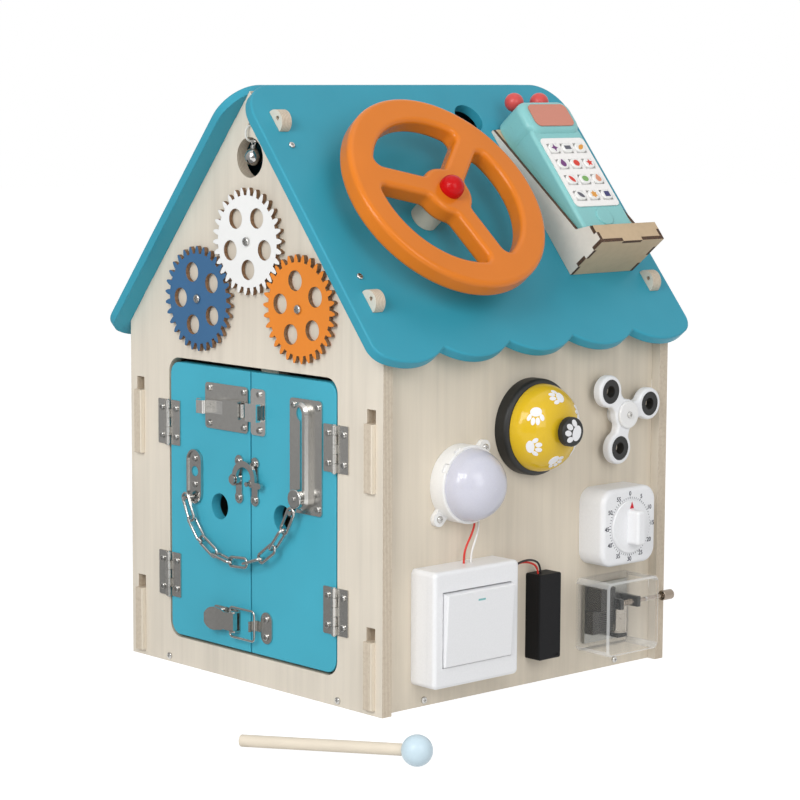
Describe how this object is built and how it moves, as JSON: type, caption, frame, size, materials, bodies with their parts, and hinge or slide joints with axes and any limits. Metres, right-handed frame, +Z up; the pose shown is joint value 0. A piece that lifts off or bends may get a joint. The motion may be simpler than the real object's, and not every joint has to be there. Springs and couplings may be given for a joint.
{
  "type": "activity house",
  "caption": "Wooden toy house with latched double doors, meshing gears, a steering wheel, a toy telephone and wall gadgets for small hands.",
  "frame": {"origin": "centre of the underside of the house", "axes": "+Z up, -Y out of the doors, +X out of the gadget wall"},
  "size_m": [0.4352, 0.4459, 0.4503],
  "materials": {
    "birch": "matte",
    "teal_wood": "satin",
    "orange_wood": "satin",
    "blue_wood": "satin",
    "white_wood": "satin",
    "beech": "satin",
    "red_lacquer": "gloss",
    "nickel": "satin",
    "bright_nickel": "polished",
    "phone_teal": "gloss",
    "phone_white": "satin",
    "phone_red": "gloss",
    "phone_key": "gloss",
    "black_plastic": "satin",
    "yellow_enamel": "gloss",
    "white_plastic": "gloss",
    "milk_plastic": "gloss",
    "clear_plastic": "clear",
    "movement_steel": "satin",
    "wire_sheath": "satin",
    "string": "matte"
  },
  "bodies": {
    "house": {"front_panel": "birch", "back_panel": "birch", "left_wall": "birch", "right_wall": "birch", "floor_panel": "birch", "left_roof": "teal_wood", "right_roof": "teal_wood", "house_screws": "nickel", "frame_hinges": "nickel", "wheel_post": "beech", "phone_holder": "birch", "bell_base": "black_plastic", "bell_dome": "yellow_enamel", "lamp_base": "white_plastic", "lamp_dome": "milk_plastic", "switch_case": "white_plastic", "battery_box": "black_plastic", "wires": "wire_sheath", "timer_body": "white_plastic", "music_case": "clear_plastic", "music_movement": "movement_steel", "spinner_post": "white_plastic", "guard_chain": "nickel", "jingle_string": "string"},
    "left_door": {"left_door_panel": "teal_wood", "left_hinge_leaves": "nickel", "left_door_screws": "nickel", "bolt_plate": "nickel", "hook_plate": "nickel", "toggle_base": "nickel", "chain_anchor": "nickel"},
    "right_door": {"right_door_panel": "teal_wood", "right_hinge_leaves": "nickel", "right_door_screws": "nickel", "bolt_keeper": "nickel", "hook_post_plate": "nickel", "toggle_catch": "nickel", "chain_slot_plate": "nickel"},
    "bolt_bar": {"bolt_bar": "nickel"},
    "hook_arm": {"hook_arm": "nickel"},
    "toggle_lever": {"toggle_lever": "nickel"},
    "toggle_bail": {"toggle_bail": "nickel"},
    "chain_button": {"chain_button": "nickel"},
    "white_gear": {"white_gear": "white_wood"},
    "blue_gear": {"blue_gear": "blue_wood"},
    "orange_gear": {"orange_gear": "orange_wood"},
    "steering_wheel": {"steering_wheel": "orange_wood", "wheel_ball": "red_lacquer"},
    "phone": {"phone_shell": "phone_teal", "phone_panels": "phone_white", "phone_ears": "phone_red"},
    "phone_keys": {"phone_keys": "phone_key"},
    "bell_button": {"bell_button": "black_plastic"},
    "spinner": {"spinner_body": "white_plastic"},
    "timer_knob": {"timer_knob": "white_plastic"},
    "switch_rocker": {"switch_rocker": "white_plastic"},
    "music_drum": {"music_drum": "movement_steel"},
    "music_crank": {"music_crank": "movement_steel"},
    "jingle_bell": {"jingle_bell": "bright_nickel"},
    "mallet": {"mallet": "beech"}
  },
  "joints": [
    {"name": "left_door_swing", "type": "hinge", "parent": "house", "child": "left_door", "pos_m": [-0.09815, -0.1524, 0.13], "axis": [0, 0, -1], "range_deg": [0, 110], "deforming": ["guard_chain"]},
    {"name": "right_door_swing", "type": "hinge", "parent": "house", "child": "right_door", "pos_m": [0.09815, -0.1524, 0.13], "axis": [0, 0, 1], "range_deg": [0, 110], "deforming": ["guard_chain"]},
    {"name": "bolt_slide", "type": "slide", "parent": "left_door", "child": "bolt_bar", "axis": [1, 0, 0], "range_m": [0, 0.016]},
    {"name": "hook_swing", "type": "hinge", "parent": "left_door", "child": "hook_arm", "pos_m": [-0.014, -0.154, 0.155], "axis": [0, -1, 0], "range_deg": [0, 100]},
    {"name": "toggle_lever_swing", "type": "hinge", "parent": "left_door", "child": "toggle_lever", "pos_m": [-0.015, -0.155, 0.0455], "axis": [0, 0, 1], "range_deg": [0, 100]},
    {"name": "toggle_bail_swing", "type": "hinge", "parent": "toggle_lever", "child": "toggle_bail", "pos_m": [-0.019, -0.155, 0.0455], "axis": [0, 0, 1], "range_deg": [-160, 0]},
    {"name": "chain_button_slide", "type": "slide", "parent": "right_door", "child": "chain_button", "axis": [0, 0, 1], "range_m": [0, 0.04], "deforming": ["guard_chain"]},
    {"name": "white_gear_spin", "type": "hinge", "parent": "house", "child": "white_gear", "pos_m": [0.0013, -0.153, 0.33502], "axis": [0, -1, 0], "continuous": true},
    {"name": "blue_gear_spin", "type": "hinge", "parent": "house", "child": "blue_gear", "pos_m": [-0.0577, -0.153, 0.28872], "axis": [0, -1, 0], "continuous": true},
    {"name": "orange_gear_spin", "type": "hinge", "parent": "house", "child": "orange_gear", "pos_m": [0.0603, -0.153, 0.28872], "axis": [0, -1, 0], "continuous": true},
    {"name": "wheel_spin", "type": "hinge", "parent": "house", "child": "steering_wheel", "pos_m": [0.10855, -0.0548, 0.37004], "axis": [0.7738, 0, 0.6334], "continuous": true},
    {"name": "phone_lift", "type": "slide", "parent": "house", "child": "phone", "axis": [-0.6334, 0, 0.7738], "range_m": [0, 0.15]},
    {"name": "phone_key_press", "type": "slide", "parent": "phone", "child": "phone_keys", "axis": [-0.7738, 0, -0.6334], "range_m": [0, 0.001], "stiffness_N_per_m": 400},
    {"name": "bell_press", "type": "slide", "parent": "house", "child": "bell_button", "axis": [-1, 0, 0], "range_m": [0, 0.003], "stiffness_N_per_m": 300},
    {"name": "spinner_spin", "type": "hinge", "parent": "house", "child": "spinner", "pos_m": [0.15, 0.098, 0.1995], "axis": [1, 0, 0], "continuous": true},
    {"name": "timer_turn", "type": "hinge", "parent": "house", "child": "timer_knob", "pos_m": [0.1661, 0.0905, 0.1147], "axis": [-1, 0, 0], "range_deg": [0, 330]},
    {"name": "switch_rock", "type": "hinge", "parent": "house", "child": "switch_rocker", "pos_m": [0.1616, -0.072, 0.0605], "axis": [0, -1, 0], "range_deg": [0, 7.4]},
    {"name": "music_drum_spin", "type": "hinge", "parent": "house", "child": "music_drum", "pos_m": [0.1521, 0.094, 0.041], "axis": [0, 0, 1], "continuous": true},
    {"name": "music_crank_spin", "type": "hinge", "parent": "house", "child": "music_crank", "pos_m": [0.1601, 0.12, 0.054], "axis": [0, 1, 0], "continuous": true},
    {"name": "jingle_swing", "type": "hinge", "parent": "house", "child": "jingle_bell", "pos_m": [0, -0.1464, 0.40862], "axis": [0, 1, 0], "range_deg": [-20, 20]},
    {"name": "mallet_lift", "type": "slide", "parent": "house", "child": "mallet", "axis": [0, 0, 1], "range_m": [0, 0.1]}
  ],
  "couplings": [
    {"joint": "blue_gear_spin", "follows": "white_gear_spin", "ratio": -1},
    {"joint": "orange_gear_spin", "follows": "white_gear_spin", "ratio": -1},
    {"joint": "toggle_bail_swing", "follows": "toggle_lever_swing", "ratio": -1.6},
    {"joint": "music_drum_spin", "follows": "music_crank_spin", "ratio": 0.033333}
  ]
}
